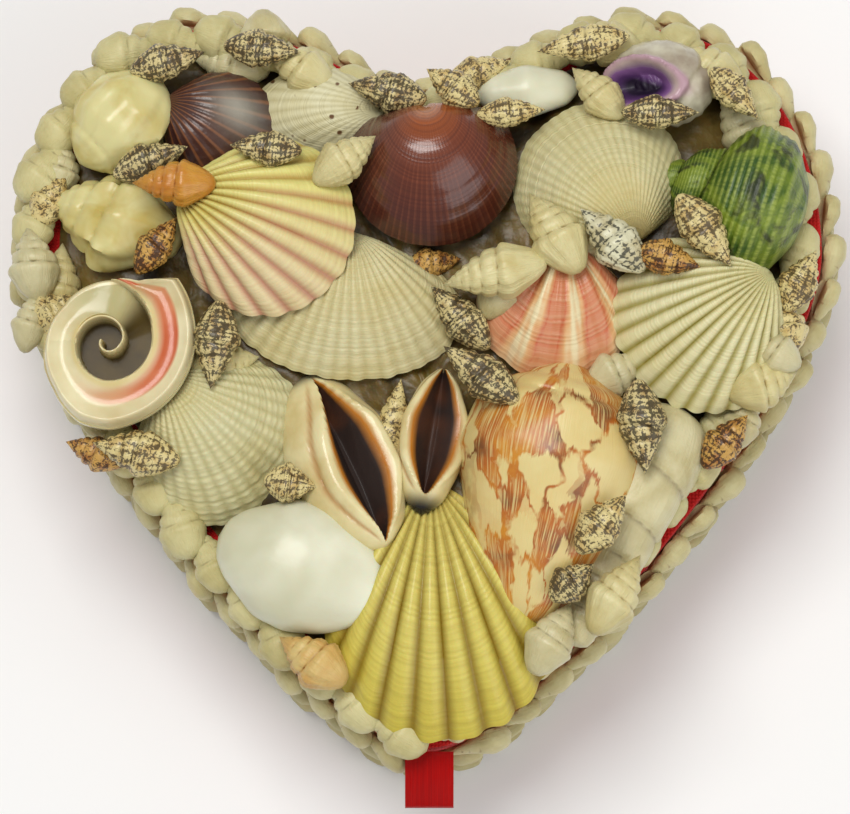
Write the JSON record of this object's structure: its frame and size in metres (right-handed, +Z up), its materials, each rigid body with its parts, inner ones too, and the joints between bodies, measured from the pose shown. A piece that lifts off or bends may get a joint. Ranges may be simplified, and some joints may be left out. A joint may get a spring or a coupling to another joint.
{
  "type": "shell box",
  "caption": "Heart-shaped keepsake box with a lift-off lid, walls covered in red cloth, rope-like rows of small shells round its edges and a mound of assorted sea shells on top.",
  "frame": {"origin": "centre of the box's flat underside, on the surface it stands on", "axes": "+Z up; -Y towards the heart's tip and the pull ribbon; +X to the right when the tip points at the viewer"},
  "size_m": [0.1594, 0.1527, 0.0654],
  "materials": {
    "red_cloth": "red cloth stretched over board, slightly satin",
    "red_ribbon": "shiny red satin ribbon",
    "ivory_shell": "dull ivory shell with fine growth lines",
    "white_shell": "smooth white shell, part glossy",
    "yellow_scallop": "yellow ribbed shell, satin",
    "pink_and_yellow_scallop": "yellow ribbed shell with mauve grooves, satin",
    "cream_shell": "cream ribbed shell, satin",
    "brown_shell": "glossy dark brown shell",
    "dark_scallop": "dark ribbed shell, satin",
    "coral_striped_shell": "coral and cream striped shell, satin",
    "brown_marked_shell": "glossy cream shell with orange-brown zigzag marks",
    "salmon_shell": "sawn white shell with a salmon band, satin",
    "green_shell": "green banded shell, satin",
    "violet_mouthed_shell": "grey-white shell with a violet mouth, satin",
    "speckled_shell": "cream shell with dark brown specks, satin",
    "orange_shell": "orange-yellow shell, satin"
  },
  "bodies": {
    "root": {"base_box": "red_cloth", "lid": "red_cloth", "ribbon_tab": "red_ribbon", "lid_side_row": "ivory_shell", "lid_top_row": "ivory_shell", "base_top_row": "ivory_shell", "base_foot_row": "ivory_shell", "sawn_whelk": "salmon_shell", "white_cockle": "white_shell", "brown_cockle": "brown_shell", "pink_scallop": "pink_and_yellow_scallop", "cream_scallop": "cream_shell", "green_turban": "green_shell", "purple_snail": "violet_mouthed_shell", "white_bonnet": "ivory_shell", "knobbed_whelk": "ivory_shell", "dark_scallop": "dark_scallop", "speckled_clam": "white_shell", "white_bubble": "white_shell", "ribbed_cockle": "white_shell", "striped_scallop": "coral_striped_shell", "white_cowrie": "white_shell", "open_shell_left": "ivory_shell", "open_shell_right": "ivory_shell", "map_volute": "brown_marked_shell", "pale_whelk": "ivory_shell", "yellow_scallop": "yellow_scallop", "beaded_cockle": "white_shell", "white_mitre_left": "cream_shell", "white_mitre_right": "cream_shell", "orange_whelk": "orange_shell", "banded_cone": "orange_shell", "small_whelk": "ivory_shell", "white_dog_whelk": "white_shell", "dove_shell_01": "speckled_shell", "dove_shell_02": "speckled_shell", "dove_shell_03": "speckled_shell", "dove_shell_04": "speckled_shell", "dove_shell_05": "speckled_shell", "dove_shell_06": "speckled_shell", "dove_shell_07": "speckled_shell", "dove_shell_08": "speckled_shell", "dove_shell_09": "speckled_shell", "dove_shell_10": "speckled_shell", "dove_shell_11": "speckled_shell", "dove_shell_12": "speckled_shell", "dove_shell_13": "speckled_shell", "dove_shell_14": "speckled_shell", "dove_shell_15": "speckled_shell", "dove_shell_16": "speckled_shell", "dove_shell_17": "speckled_shell", "dove_shell_18": "speckled_shell", "dove_shell_19": "speckled_shell", "dove_shell_20": "speckled_shell", "dove_shell_21": "speckled_shell", "dove_shell_22": "speckled_shell", "dove_shell_23": "speckled_shell", "dove_shell_24": "speckled_shell", "dove_shell_25": "speckled_shell", "dove_shell_26": "speckled_shell"}
  },
  "joints": []
}
